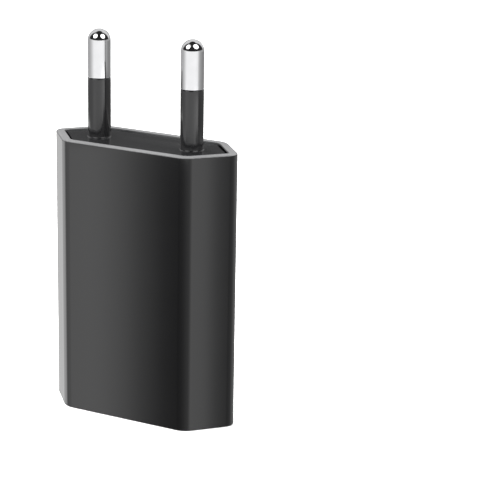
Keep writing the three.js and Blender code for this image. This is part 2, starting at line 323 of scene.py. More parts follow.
def rimEdges(height, outside=True):
    # the edges where an end face at this height meets the outer or the inner wall
    def test(edge):
        ends = [v.co / mm for v in edge.verts]
        if any(abs(p.z - height) > 0.01 for p in ends) or len(edge.link_faces) != 2:
            return False
        walls = [f for f in edge.link_faces if abs(f.normal.z) < 0.5]
        if len(walls) != 1:
            return False
        outward = walls[0].normal.dot(Vector((*((ends[0] + ends[1]) / 2).xy, 0))) > 0
        return outward == outside
    choose("EDGE", test)


# sleeve
sleeve = {
    "rim": 1.5,
    "shoulder": 0.6,
    "topSeat": 2.85,  # how deep the seat of each end plate goes
    "bottomSeat": 2.5,
    "highStep": 0.3,  # how far down the matt finish, with its painted lighter tone, goes on the walls
    "lowStep": 0.3,
    "topSoft": 0.22,
    "bottomSoft": 0.14,
    "innerSoft": 0.08,
    "ribs": (-10.1, 10.1),  # the two inner ribs that the board leans on
    "ribWidth": 1.0, "ribFront": 4.5, "ribBack": 5.6, "ribLow": 8, "ribHigh": 38,
}
satinBlack = mouldedFinish("satinBlackPlastic", {
    "dark": (0.0060, 0.0060, 0.0063), "light": (0.0078, 0.0078, 0.0082),
    "cloud": 0.12, "grain": 9.0, "rough": (0.06, 0.08), "depth": 0.0003,
})
mattRimWithPaintedLight = mouldedFinish("mattBlackRimWithPaintedLight", {  # the sawn-looking end faces: a rough matt grain that scatters the light, and a lighter grey tone painted in for the light they catch
    "dark": (0.062, 0.062, 0.063), "light": (0.080, 0.080, 0.081),
    "cloud": 0.5, "grain": 7.0, "rough": (0.58, 0.70), "depth": 0.006,
})


def isSeatWall(face):  # a wall of the seat of an end plate
    middle = face.calc_center_median() / mm
    nearEnd = middle.z > bodyTop - sleeve["topSeat"] or middle.z < sleeve["bottomSeat"]
    return nearEnd and abs(face.normal.z) < 0.35 and Vector((middle.x, middle.y, 0)).dot(face.normal) < 0


def isMattWithPaintedLight(face):  # the end faces, and the short walls down to the plates, which get the matt finish with its painted lighter tone
    height = face.calc_center_median().z / mm
    return abs(face.normal.z) > 0.35 or (isSeatWall(face) and not sleeve["lowStep"] < height < bodyTop - sleeve["highStep"])


def makeSleeve():
    piece = startHex("housingSleeve", 0, 0, bodyTop)
    for side, seat in ((1, sleeve["topSeat"]), (-1, sleeve["bottomSeat"])):
        chooseFaces(lambda n, c: n.z * side > 0.9)
        inset(sleeve["rim"])
        extrude(z=-side * seat)
        inset(sleeve["shoulder"])
        bpy.ops.mesh.delete(type="FACE")
    bpy.ops.mesh.select_mode(type="EDGE")
    bpy.ops.mesh.select_all(action="DESELECT")
    bpy.ops.mesh.select_non_manifold()
    bpy.ops.mesh.bridge_edge_loops()
    rimEdges(bodyTop)
    bevel(sleeve["topSoft"], 5)
    rimEdges(0)
    bevel(sleeve["bottomSoft"], 8)
    for height in (0, bodyTop):
        rimEdges(height, outside=False)
        bevel(sleeve["innerSoft"], 2)
    for height in (sleeve["lowStep"], bodyTop - sleeve["highStep"]):
        choose("FACE", isSeatWall)
        bpy.ops.mesh.bisect(plane_co=(0, 0, height * mm), plane_no=(0, 0, 1))
    faceOutwards()
    for x in sleeve["ribs"]:
        rib = startBox("rib", (x - sleeve["ribWidth"] / 2, x + sleeve["ribWidth"] / 2),
                       (sleeve["ribFront"], sleeve["ribBack"]), (sleeve["ribLow"], sleeve["ribHigh"]))
        combine(piece, rib, "UNION")
    finishPiece(piece, satinBlack, ["housing_sleeve"])
    # the matt faces get real rough grain plus a lighter grey tone that is painted light
    piece.data.materials.append(mattRimWithPaintedLight)
    bpy.ops.object.mode_set(mode="EDIT")
    choose("FACE", isMattWithPaintedLight)
    bpy.context.object.active_material_index = 1
    bpy.ops.object.material_slot_assign()
    bpy.ops.object.mode_set(mode="OBJECT")


makeSleeve()
print("sleeve done")

# pin base plate
pinPlate = {"slit": 0.15, "widerSlit": 0.33, "thick": 2.0, "edgeSoft": 0.06, "footRadius": 0.26, "bossRadius": 3.2, "bossDeep": 1.8}
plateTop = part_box("pin_base_plate")[1].z / mm
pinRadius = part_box("plug_pin_left")[1].y / mm
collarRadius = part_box("pin_insulation_left")[1].y / mm
pinPlaces = [(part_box("plug_pin_" + s)[0].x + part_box("plug_pin_" + s)[1].x) / 2 / mm for s in ("left", "right")]
glossBlack = mouldedFinish("glossBlackPlastic", {
    "dark": (0.0060, 0.0060, 0.0063), "light": (0.0080, 0.0080, 0.0084),
    "cloud": 0.15, "grain": 2.5, "rough": (0.085, 0.11), "depth": 0.0003,
})


def makePinPlate():
    low = plateTop - pinPlate["thick"]
    piece = startHex("pinBasePlate", sleeve["rim"] + pinPlate["slit"], low, plateTop)
    slant = Vector((halfThick, hexShape["sideTip"] - hexShape["flatHalf"], 0)).normalized()
    for side in (-1, 1):  # two of the slanted sides stand a little further off the rim
        chooseFaces(lambda n, c: n.dot(slant) * side > 0.999)
        bpy.ops.transform.translate(value=slant * -side * pinPlate["widerSlit"] * mm)
    rimEdges(plateTop)
    bevel(pinPlate["edgeSoft"], 3)
    foot = pinPlate["footRadius"]
    for x in pinPlaces:  # a boss below, a filleted foot above, and the hole through them
        boss = startSpin("boss", [(0, low - pinPlate["bossDeep"]), (pinPlate["bossRadius"], low - pinPlate["bossDeep"]),
                                  (pinPlate["bossRadius"], low + 0.5), (0, low + 0.5)], (x, 0))
        combine(piece, boss, "UNION")
        curve = arc((collarRadius + foot, plateTop + foot), foot, 270, 180, 8)
        profile = [(0, plateTop - 0.5), (collarRadius + foot + 0.02, plateTop - 0.5), *curve, (0, plateTop + foot)]
        combine(piece, startSpin("foot", profile, (x, 0), 72), "UNION")
        hole = startSpin("hole", [(0, low - 5), (collarRadius - 0.02, low - 5), (collarRadius - 0.02, plateTop + 5),
                                  (0, plateTop + 5)], (x, 0), 72)
        combine(piece, hole, "DIFFERENCE")
    finishPiece(piece, glossBlack, ["pin_base_plate"], smooth=30)


makePinPlate()
print("pin plate done")

# pins and collars
pin = {
    "shank": 1.3, "jointSoft": 0.08, "domeSteps": 16, "steps": 96, "seam": 0.08, "collarSoft": 0.18,
}
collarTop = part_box("pin_insulation_left")[1].z / mm
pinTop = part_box("plug_pin_left")[1].z / mm
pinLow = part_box("plug_pin_left")[0].z / mm
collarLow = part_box("pin_insulation_left")[0].z / mm
polishedNickel = metalFinish("polishedNickel", {
    "dark": (0.60, 0.60, 0.61), "light": (0.68, 0.68, 0.69),
    "marks": 1.0, "stretch": (0.25, 0.25, 9.0), "rough": (0.06, 0.10), "depth": 0.0003,
})
collarBlack = mouldedFinish("collarBlackPlastic", {
    "dark": (0.011, 0.011, 0.0115), "light": (0.014, 0.014, 0.0145),
    "cloud": 0.2, "grain": 6.0, "rough": (0.085, 0.105), "depth": 0.0003,
})


def makePins():
    joint = collarTop + pin["seam"]
    soft = pin["jointSoft"]
    dome = arc((0, pinTop - pinRadius), pinRadius, 0, 90, pin["domeSteps"])
    metal = [
        (0, pinLow), (pin["shank"] - 0.2, pinLow), (pin["shank"], pinLow + 0.2), (pin["shank"], joint),
        *arc((pinRadius - soft, joint + soft), soft, 270, 360, 4), *dome[:-1], (0, pinTop),
    ]
    edge = pin["collarSoft"]
    collar = [
        (pin["shank"] + 0.02, collarLow), (collarRadius, collarLow),
        *arc((collarRadius - edge, collarTop - edge), edge, 0, 90, 4), (pin["shank"] + 0.02, collarTop),
        (pin["shank"] + 0.02, collarLow),
    ]
    for x, side in zip(pinPlaces, ("left", "right")):
        tip = startSpin("pin" + side.title(), metal, (x, 0), pin["steps"])
        finishPiece(tip, polishedNickel, ["plug_pin_" + side])
        tube = startSpin("collar" + side.title(), collar, (x, 0), pin["steps"])
        finishPiece(tube, collarBlack, ["pin_insulation_" + side])


makePins()
print("pins done")

# socket face plate and shell
port = {
    "width": 12.5, "height": 5.12, "wall": 0.3, "cornerRadius": 0.55, "lipFlare": 0.12, "plateSlit": 0.04,
    "windowEdge": 0.12, "front": 0.75,
}
portPlate = {"slit": 0.2, "edgeSoft": 0.12, "mouthSoft": 0.15}
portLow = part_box("usb_face_plate")[0].z / mm
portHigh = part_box("usb_face_plate")[1].z / mm
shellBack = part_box("usb_shell")[1].z / mm
tinnedSteel = metalFinish("tinnedSteel", {
    "dark": (0.30, 0.30, 0.31), "light": (0.42, 0.42, 0.43),
    "marks": 1.2, "stretch": (0.4, 0.4, 6.0), "rough": (0.24, 0.36), "depth": 0.0012,
})


def startMouth(name, margin, low, high):
    # a block with the section of the mouth, a margin larger all round
    across, up = port["width"] / 2 + margin, port["height"] / 2 + margin
    piece = startBox(name, (-across, across), (-up, up), (low, high))
    chooseEdges(lambda a, b: abs(a.z - b.z) > 0.1)
    bevel(port["cornerRadius"] + margin, 6)
    return piece


def makePortPlate():
    piece = startHex("socketFacePlate", sleeve["rim"] + portPlate["slit"], portLow, portHigh)
    rimEdges(portLow)
    bevel(portPlate["edgeSoft"], 3)
    bpy.ops.object.mode_set(mode="OBJECT")
    mouth = startMouth("mouth", port["wall"] + port["plateSlit"], portLow - 2, portHigh + 2)
    bpy.ops.object.mode_set(mode="OBJECT")
    combine(piece, mouth, "DIFFERENCE")
    finishPiece(piece, glossBlack, ["usb_face_plate"], smooth=30)


def makeShell():
    piece = startMouth("socketShell", port["wall"], port["front"], shellBack)
    for side in (-1, 1):
        chooseFaces(lambda n, c: n.z * side > 0.9)
        inset(port["wall"])
        bpy.ops.mesh.delete(type="FACE")
    bpy.ops.mesh.select_mode(type="EDGE")
    bpy.ops.mesh.select_all(action="DESELECT")
    bpy.ops.mesh.select_non_manifold()
    bpy.ops.mesh.bridge_edge_loops()
    faceOutwards()
    rimEdges(port["front"], outside=False)
    bevel(0.1, 3)
    rimEdges(port["front"])
    bevel(0.06, 2)
    bpy.ops.object.mode_set(mode="OBJECT")
    for spring in ("front_left", "front_right", "back_left", "back_right"):  # a window for each grip spring
        low, high = [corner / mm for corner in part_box("usb_grip_spring_" + spring)]
        edge = port["windowEdge"]
        y = (-4, 0) if low.y < 0 else (0, 4)
        cutter = startBox("window", (low.x - edge, high.x + edge), y, (low.z - 0.25, high.z + 0.02))
        chooseEdges(lambda a, b: abs(a.y - b.y) > 0.1)
        bevel(0.2, 3)
        bpy.ops.object.mode_set(mode="OBJECT")
        combine(piece, cutter, "DIFFERENCE")
    finishPiece(piece, tinnedSteel, ["usb_shell"], smooth=30)


makePortPlate()
makeShell()
print("socket shell done")

# tongue
tongue = {
    "width": 11.1, "thick": 1.84, "topGap": 0.65, "slotWidth": 1.1, "slotDeep": 1.1, "noseSoft": 0.45,
    "sideSoft": 0.3, "noseThick": 1.46, "stepBack": 0.8, "contactPlaces": (-3.5, -1.0, 1.0, 3.5),
}
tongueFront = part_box("usb_tongue")[0].z / mm
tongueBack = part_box("usb_tongue")[1].z / mm
whitePlastic = mouldedFinish("whiteTonguePlastic", {
    "dark": (0.80, 0.80, 0.79), "light": (0.88, 0.88, 0.87),
    "cloud": 0.6, "grain": 6.0, "rough": (0.38, 0.46), "depth": 0.002,
})


def makeTongue():
    half = tongue["width"] / 2
    top = -port["height"] / 2 + tongue["topGap"]
    bottom = top + tongue["thick"]
    nose = top + tongue["noseThick"]
    step = tongueFront + tongue["stepBack"]
    piece = startBox("socketTongue", (-half, half), (top, bottom), (tongueFront, 12.4))
    chooseEdges(lambda a, b: a.z < tongueFront + 0.01 and b.z < tongueFront + 0.01 and a.y < top + 0.01 and b.y < top + 0.01)
    bevel(tongue["noseSoft"], 1)
    chooseEdges(lambda a, b: abs(a.x - b.x) < 0.01 and abs(a.x) > half - 0.01 and a.z < step and b.z < step and a.y + b.y > 2 * top + 0.6)
    bevel(tongue["sideSoft"], 1)
    bpy.ops.object.mode_set(mode="OBJECT")
    under = startBox("under", (-half - 1, half + 1), (nose, bottom + 1), (tongueFront - 1, step))
    bpy.ops.object.mode_set(mode="OBJECT")
    combine(piece, under, "DIFFERENCE")
    for side in (-1, 1):  # the bed of the contacts is narrower than the nose
        beside = startBox("beside", sorted((side * (half - 0.25), side * (half + 1))), (nose, bottom + 1), (tongueFront - 1, 11.7))
        bpy.ops.object.mode_set(mode="OBJECT")
        combine(piece, beside, "DIFFERENCE")
    for x in tongue["contactPlaces"]:
        reach = tongue["slotWidth"] / 2
        slot = startBox("slot", (x - reach, x + reach), (bottom - tongue["slotDeep"], bottom + 1), (tongueFront + 0.45, 11.7))
        bpy.ops.object.mode_set(mode="OBJECT")
        combine(piece, slot, "DIFFERENCE")
    blockX, blockY = port["width"] / 2 - 0.05, port["height"] / 2 - 0.05
    rear = startBox("rear", (-blockX, blockX), (-blockY, blockY), (11.9, tongueBack))
    chooseFaces(lambda n, c: n.z < -0.9)
    inset(0.5)
    extrude(z=0.25)
    bpy.ops.object.mode_set(mode="OBJECT")
    combine(piece, rear, "UNION")
    key = startBox("key", (-1.5, 1.5), (bottom + 0.25, bottom + 0.95), (10.2, 12.2))
    bpy.ops.object.mode_set(mode="OBJECT")
    combine(piece, key, "UNION")
    addModifier(piece, "BEVEL", width=0.05 * mm, segments=2, limit_method="ANGLE", angle_limit=radians(50))
    finishPiece(piece, whitePlastic, ["usb_tongue"], smooth=30)


makeTongue()
print("tongue done")

# spring contacts and grip springs
spring = {"contactWidth": 1.0, "contactThick": 0.25, "gripEdge": 0.06}
goldFlash = metalFinish("goldFlashedContact", {
    "dark": (0.70, 0.50, 0.20), "light": (0.82, 0.62, 0.30),
    "marks": 2.0, "stretch": (6.0, 0.6, 0.6), "rough": (0.16, 0.26), "depth": 0.0008,
})


def loftStrip(name, line, thick, width, x):
    # a strip of even thickness: its edge outline is drawn point by point, filled, and drawn out to its width
    deselectAll()
    sides = []
    for sign in (-1, 1):
        side = []
        for i, (y, z) in enumerate(line):
            before, after = line[max(i - 1, 0)], line[min(i + 1, len(line) - 1)]
            run = Vector((after[0] - before[0], after[1] - before[1])).normalized() * sign * thick / 2
            side.append((y - run.y, z + run.x))
        sides.append(side)
    outline = sides[0] + sides[1][::-1]
    first = outline[0]
    start = ((x - width / 2) * mm, first[0] * mm, first[1] * mm)
    bpy.ops.mesh.primitive_plane_add(size=0.1 * mm, location=start)
    applyPlace()
    bpy.context.object.name = name
    bpy.context.object.data.name = name
    bpy.ops.object.mode_set(mode="EDIT")
    bpy.ops.mesh.select_mode(type="VERT")
    bpy.ops.mesh.select_all(action="SELECT")
    bpy.ops.mesh.merge(type="CENTER")
    for before, after in zip(outline, outline[1:]):
        step = (0, (after[0] - before[0]) * mm, (after[1] - before[1]) * mm)
        bpy.ops.mesh.extrude_vertices_move(TRANSFORM_OT_translate={"value": step})
    bpy.ops.mesh.select_all(action="SELECT")
    bpy.ops.mesh.edge_face_add()
    extrude(x=width)
    faceOutwards()
    return bpy.context.object


def makeContacts():
    bottom = -port["height"] / 2 + tongue["topGap"] + tongue["thick"]
    root = bottom - 0.5
    curve = [(root, 11.4), (root, 10.6), (root + 0.12, 9.2), (root + 0.35, 7.2), (bottom + 0.1, 5.6),
             (bottom + 0.22, 4.9), (bottom + 0.26, 4.5), (bottom + 0.22, 4.2), (bottom + 0.08, 3.85),
             (root + 0.05, 3.3), (root - 0.05, 3.0)]
    for i, x in enumerate(tongue["contactPlaces"]):
        piece = loftStrip(f"contact{i + 1}", curve, spring["contactThick"], spring["contactWidth"], x)
        bpy.ops.object.mode_set(mode="OBJECT")
        addModifier(piece, "BEVEL", width=0.05 * mm, segments=2, limit_method="ANGLE", angle_limit=radians(50))
        node = f"usb_contact_{i + 1}"
        finishPiece(piece, goldFlash, [node], node + "_body")


def makeGripSprings():
    middle = port["height"] / 2 + port["wall"] / 2
    for face, side in (("front", -1), ("back", 1)):
        curve = [(middle, 8.5), (middle - 0.03, 7.9), (middle - 0.14, 6.6), (middle - 0.27, 5.3),
                 (middle - 0.34, 4.9), (middle - 0.36, 4.6), (middle - 0.34, 4.3), (middle - 0.27, 3.9), (middle - 0.16, 3.3)]
        for hand in ("left", "right"):
            node = f"usb_grip_spring_{face}_{hand}"
            low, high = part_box(node)
            line = [(y * side, z) for y, z in curve]
            piece = loftStrip("gripSpring" + face.title() + hand.title(), line, port["wall"],
                              (high.x - low.x) / mm, (high.x + low.x) / 2 / mm)
            bpy.ops.object.mode_set(mode="OBJECT")
            addModifier(piece, "BEVEL", width=spring["gripEdge"] * mm, segments=2, limit_method="ANGLE", angle_limit=radians(50))
            finishPiece(piece, tinnedSteel, [node], node + "_body")


makeContacts()
makeGripSprings()
print("springs done")

# the parts inside
def copyNode(node, name, soft, steps=2, angle=40):
    # a copy of a frame node with its triangles merged, its flats made whole and its edges rounded
    deselectAll()
    source = frame["nodes"][node]
    source.select_set(True)
    bpy.context.view_layer.objects.active = source
    bpy.ops.object.duplicate()
    piece = bpy.context.object
    piece.name = name
    piece.data.name = name
    del piece["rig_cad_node"]
    bpy.ops.mesh.customdata_custom_splitnormals_clear()
    bpy.ops.object.mode_set(mode="EDIT")
    bpy.ops.mesh.select_mode(type="VERT")
    weld()
    bpy.ops.mesh.dissolve_limited(angle_limit=radians(1))
    faceOutwards()
    bpy.ops.object.mode_set(mode="OBJECT")
    piece.data.materials.clear()
    addModifier(piece, "BEVEL", width=soft * mm, segments=steps, limit_method="ANGLE", angle_limit=radians(angle))
    return piece


def paint(piece, finish, test):  # gives the faces that pass a test another finish
    deselectAll()
    piece.select_set(True)
    bpy.context.view_layer.objects.active = piece
    piece.data.materials.append(finish)
    bpy.ops.object.mode_set(mode="EDIT")
    chooseFaces(test)
    piece.active_material_index = len(piece.data.materials) - 1
    bpy.ops.object.material_slot_assign()
    bpy.ops.object.mode_set(mode="OBJECT")


def turnPiece(piece, axis, degrees):  # turned about the origin, with the turn put into the mesh
    deselectAll()
    piece.select_set(True)
    bpy.context.view_layer.objects.active = piece
    piece.rotation_euler[axis] = radians(degrees)
    applyPlace()
    return piece


def addLead(name, line, x, width=0.5, thick=0.5, soft=0.14):
    # a wire or strip lead along [y, z] points
    piece = loftStrip(name, line, thick, width, x)
    bpy.ops.object.mode_set(mode="OBJECT")
    addModifier(piece, "BEVEL", width=soft * mm, segments=2, limit_method="ANGLE", angle_limit=radians(50))
    return piece


def sideLead(name, line, along, side, width=0.5, thick=0.15):
    # a lead that leaves sideways: [y, distance from the middle plane] points, at a height along the body
    piece = addLead(name, line, -side * along, width, thick, 0.04)
    return turnPiece(piece, 1, 90 * side)


tinnedLead = metalFinish("tinnedLead", {
    "dark": (0.48, 0.48, 0.49), "light": (0.62, 0.62, 0.62),
    "marks": 1.5, "stretch": (1, 1, 1), "rough": (0.22, 0.38), "depth": 0.006,
})
rawAluminium = metalFinish("rawAluminium", {
    "dark": (0.62, 0.62, 0.63), "light": (0.74, 0.74, 0.75),
    "marks": 1.2, "stretch": (2, 2, 0.3), "rough": (0.28, 0.42), "depth": 0.004,
})
sheetBrass = metalFinish("sheetBrass", {
    "dark": (0.56, 0.40, 0.15), "light": (0.70, 0.52, 0.22),
    "marks": 0.9, "stretch": (6, 0.6, 0.6), "rough": (0.22, 0.36), "depth": 0.003,
})
epoxyBlack = mouldedFinish("epoxyBlack", {
    "dark": (0.012, 0.012, 0.012), "light": (0.022, 0.022, 0.021),
    "cloud": 0.8, "grain": 9.0, "rough": (0.45, 0.6), "depth": 0.008,
})
ferriteGrey = mouldedFinish("ferriteGrey", {
    "dark": (0.030, 0.030, 0.032), "light": (0.058, 0.057, 0.058),
    "cloud": 1.4, "grain": 5.0, "rough": (0.42, 0.62), "depth": 0.02,
})
copperWire = metalFinish("copperWire", {
    "dark": (0.42, 0.15, 0.06), "light": (0.62, 0.27, 0.12),
    "marks": 0.7, "stretch": (0.5, 0.5, 3), "rough": (0.22, 0.32), "depth": 0.003,
})
tapeYellow = mouldedFinish("tapeYellow", {
    "dark": (0.58, 0.38, 0.03), "light": (0.72, 0.50, 0.06),
    "cloud": 0.35, "grain": 1.2, "rough": (0.18, 0.30), "depth": 0.015,
})
blueCeramic = mouldedFinish("blueCeramic", {
    "dark": (0.020, 0.085, 0.26), "light": (0.035, 0.13, 0.36),
    "cloud": 0.5, "grain": 1.4, "rough": (0.16, 0.28), "depth": 0.02,
})


def makeBoardFinish():  # green solder mask, lighter over the copper areas and darker in the gaps between them
    finish, nodes, links, shader = newFinish("solderMask")
    place = nodes.new("ShaderNodeTexCoord")
    areas = []
    for feature in ("F1", "F2"):
        cells = nodes.new("ShaderNodeTexVoronoi")
        cells.feature = feature
        cells.distance = "CHEBYCHEV"
        cells.inputs["Scale"].default_value = 0.34 / mm
        cells.inputs["Randomness"].default_value = 0.85
        links.new(place.outputs["Object"], cells.inputs["Vector"])
        areas.append(cells)
    gap = nodes.new("ShaderNodeMath")
    gap.operation = "SUBTRACT"
    links.new(areas[1].outputs["Distance"], gap.inputs[0])
    links.new(areas[0].outputs["Distance"], gap.inputs[1])
    copper = spread(nodes, links, gap.outputs[0], 0, 1, 0.05, 0.07)
    shade = nodes.new("ShaderNodeSeparateColor")
    links.new(areas[0].outputs["Color"], shade.inputs["Color"])
    filled = spread(nodes, links, shade.outputs["Red"], 0.25, 1, 0.30, 0.34)
    height = nodes.new("ShaderNodeMath")
    height.operation = "MULTIPLY"
    links.new(copper, height.inputs[0])
    links.new(filled, height.inputs[1])
    links.new(twoTones(nodes, links, height.outputs[0], (0.010, 0.055, 0.022), (0.028, 0.14, 0.050)), shader.inputs["Base Color"])
    links.new(spread(nodes, links, noise(nodes, links, 0.6), 0.22, 0.34), shader.inputs["Roughness"])
    addBump(nodes, links, height.outputs[0], 0.03, shader)
    return finish


def makeCanFinish(name, look):
    # shrink sleeve with a pale stripe down the side that faces away from the board
    finish, nodes, links, shader = newFinish(name)
    place = nodes.new("ShaderNodeTexCoord")
    parts = nodes.new("ShaderNodeSeparateXYZ")
    links.new(place.outputs["Object"], parts.inputs["Vector"])
    stripe = spread(nodes, links, parts.outputs["Y"], 1, 0, (look["stripe"] - 0.04) * mm, (look["stripe"] + 0.04) * mm)
    cloud = noise(nodes, links, 0.5)
    sleeveTone = nodes.new("ShaderNodeMix")
    sleeveTone.data_type = "RGBA"
    sleeveTone.inputs["B"].default_value = (0.42, 0.44, 0.46, 1)
    links.new(twoTones(nodes, links, cloud, look["dark"], look["light"]), sleeveTone.inputs["A"])
    links.new(stripe, sleeveTone.inputs["Factor"])
    links.new(sleeveTone.outputs["Result"], shader.inputs["Base Color"])
    links.new(spread(nodes, links, cloud, 0.18, 0.28), shader.inputs["Roughness"])
    addBump(nodes, links, noise(nodes, links, 0.9, 2, (1, 1, 0.2)), 0.012, shader)
    return finish


def makeResistorFinish():
    # a cement coat with four colour bands
    finish, nodes, links, shader = newFinish("bandedCoat")
    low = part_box("fusible_resistor")[0].z
    place = nodes.new("ShaderNodeTexCoord")
    parts = nodes.new("ShaderNodeSeparateXYZ")
    ramp = nodes.new("ShaderNodeValToRGB")
    ramp.color_ramp.interpolation = "CONSTANT"
    coat, bands = (0.10, 0.23, 0.14, 1), [(0.25, (0.35, 0.02, 0.01, 1)), (0.40, (0.02, 0.02, 0.02, 1)),
                                          (0.55, (0.42, 0.30, 0.02, 1)), (0.74, (0.5, 0.33, 0.1, 1))]
    ramp.color_ramp.elements[0].color = coat
    ramp.color_ramp.elements[1].position = 0.99
    ramp.color_ramp.elements[1].color = coat
    for at, tone in bands:
        ramp.color_ramp.elements.new(at).color = tone
        ramp.color_ramp.elements.new(at + 0.07).color = coat
    links.new(place.outputs["Object"], parts.inputs["Vector"])
    links.new(spread(nodes, links, parts.outputs["Z"], 0, 1, low, low + 6.8 * mm), ramp.inputs["Fac"])
    links.new(ramp.outputs["Color"], shader.inputs["Base Color"])
    links.new(spread(nodes, links, noise(nodes, links, 1.2), 0.4, 0.6), shader.inputs["Roughness"])
    addBump(nodes, links, noise(nodes, links, 3), 0.015, shader)
    return finish


# circuit board with its solder joints
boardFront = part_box("main_circuit_board")[0].y / mm
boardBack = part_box("main_circuit_board")[1].y / mm
board = {
    "jointRadius": 0.42, "jointHigh": 0.42, "edgeSoft": 0.06,
    "joints": [(-5.25, 29.0), (-2.75, 29.0), (2.75, 29.0), (5.25, 29.0), (-3.6, 26.0), (3.6, 26.0), (-3.6, 18.4),
               (-1.2, 18.4), (1.2, 18.4), (3.6, 18.4), (-10.95, 15.6), (-9.15, 15.6), (-10.95, 3.85), (-9.15, 3.85),
               (7.9, 4.0), (9.0, 4.0), (-9.2, 29.2), (-9.2, 36.9), (-3.5, 13.2), (-1.0, 13.2), (1.0, 13.2), (3.5, 13.2)],
}


def makeBoard():
    piece = copyNode("main_circuit_board", "circuitBoard", board["edgeSoft"])
    slot = startBox("slot", (5.2, 6.2), (boardFront - 1, boardBack + 1), (15.2, 26.5))  # keeps mains and output apart
    chooseEdges(lambda a, b: abs(a.y - b.y) > 0.1)
    bevel(0.45, 4)
    bpy.ops.object.mode_set(mode="OBJECT")
    combine(piece, slot, "DIFFERENCE")
    radius, high = board["jointRadius"], board["jointHigh"]
    cone = startSpin("solderJoint", [(0, -0.05), (radius, -0.05), (radius, 0.04), (radius * 0.6, 0.16),
                                     (radius * 0.42, high - 0.06), (radius * 0.25, high), (0, high)], steps=16)
    bpy.ops.object.mode_set(mode="OBJECT")
    turnPiece(cone, 0, -90)
    cones = [copyPiece(cone, f"joint{i}", x, boardBack, z) for i, (x, z) in enumerate(board["joints"])]
    bpy.data.objects.remove(cone)
    piece = joinPieces([piece, *cones], "circuitBoard")
    finishPiece(piece, makeBoardFinish(), ["main_circuit_board"])
    paint(piece, tinnedLead, lambda n, c: c.y > boardBack + 0.001)


makeBoard()
print("board done")

# transformer
transformer = {"turns": 15, "wire": 0.42, "ferriteSoft": 0.22, "tapeSoft": 0.25}


def makeTransformer():
    for half in ("upper", "lower"):
        piece = copyNode("transformer_core_" + half, "ferrite" + half.title(), transformer["ferriteSoft"], 3)
        finishPiece(piece, ferriteGrey, ["transformer_core_" + half])
    low, high = [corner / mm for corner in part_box("transformer_winding")]
    wire, middle = transformer["wire"], (low + high) / 2
    turn = startBox("turn", (low.x, high.x), (low.y, high.y), (low.z, low.z + wire))
    chooseEdges(lambda a, b: abs(a.z - b.z) > 0.1)
    bevel(0.7, 3)
    choose("EDGE", lambda e: len(e.link_faces) == 2 and abs(e.link_faces[0].normal.z - e.link_faces[1].normal.z) > 0.9)
    bevel(wire * 0.42, 2)
    bpy.ops.object.mode_set(mode="OBJECT")
    pitch = (high.z - low.z - wire) / (transformer["turns"] - 1)
    turns = [turn] + [copyPiece(turn, f"turn{i}", z=pitch * i) for i in range(1, transformer["turns"])]
    coil = joinPieces(turns, "primaryWinding")
    bore = startBox("bore", (low.x + 0.7, high.x - 0.7), (low.y + 0.7, high.y - 0.7), (low.z - 1, high.z + 1))
    bpy.ops.object.mode_set(mode="OBJECT")
    addModifier(coil, "BOOLEAN", object=bore, operation="DIFFERENCE", solver="EXACT", use_self=True)
    bpy.data.objects.remove(bore)
    finishPiece(coil, copperWire, ["transformer_winding"])
    tape = copyNode("transformer_tape", "tapeWrap", transformer["tapeSoft"], 4)
    low, high = [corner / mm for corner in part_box("transformer_tape")]
    lap = startBox("lap", (low.x + 0.8, high.x - 2.2), (low.y - 0.06, low.y + 0.1), (low.z + 0.02, high.z - 0.02))
    bpy.ops.object.mode_set(mode="OBJECT")
    tape = joinPieces([tape, lap], "tapeWrap")
    finishPiece(tape, tapeYellow, ["transformer_tape"])
    bobbin = copyNode("transformer_bobbin", "bobbin", 0.08)
    pins = []
    for z in (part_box("transformer_bobbin")[0].z / mm + 0.3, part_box("transformer_bobbin")[1].z / mm - 0.3):
        for x in (-3.6, -1.2, 1.2, 3.6):
            pins.append(addLead("pin", [(2.7, z), (boardFront + 0.1, z)], x, 0.45, 0.45))
    bobbin = joinPieces([bobbin, *pins], "bobbin")
    finishPiece(bobbin, whitePlastic, ["transformer_bobbin"])
    paint(bobbin, tinnedLead, lambda n, c: c.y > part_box("transformer_bobbin")[1].y / mm + 0.01)


makeTransformer()
print("transformer done")

# capacitors
cans = {
    "input_capacitor_1": {"lead": 1.25, "leadRun": 0.42}, "input_capacitor_2": {"lead": 1.25, "leadRun": 0.42},
    "output_capacitor_1": {"lead": 0.9, "leadRun": 0.42}, "output_capacitor_2": {"lead": 0.9, "leadRun": 0.38},
}


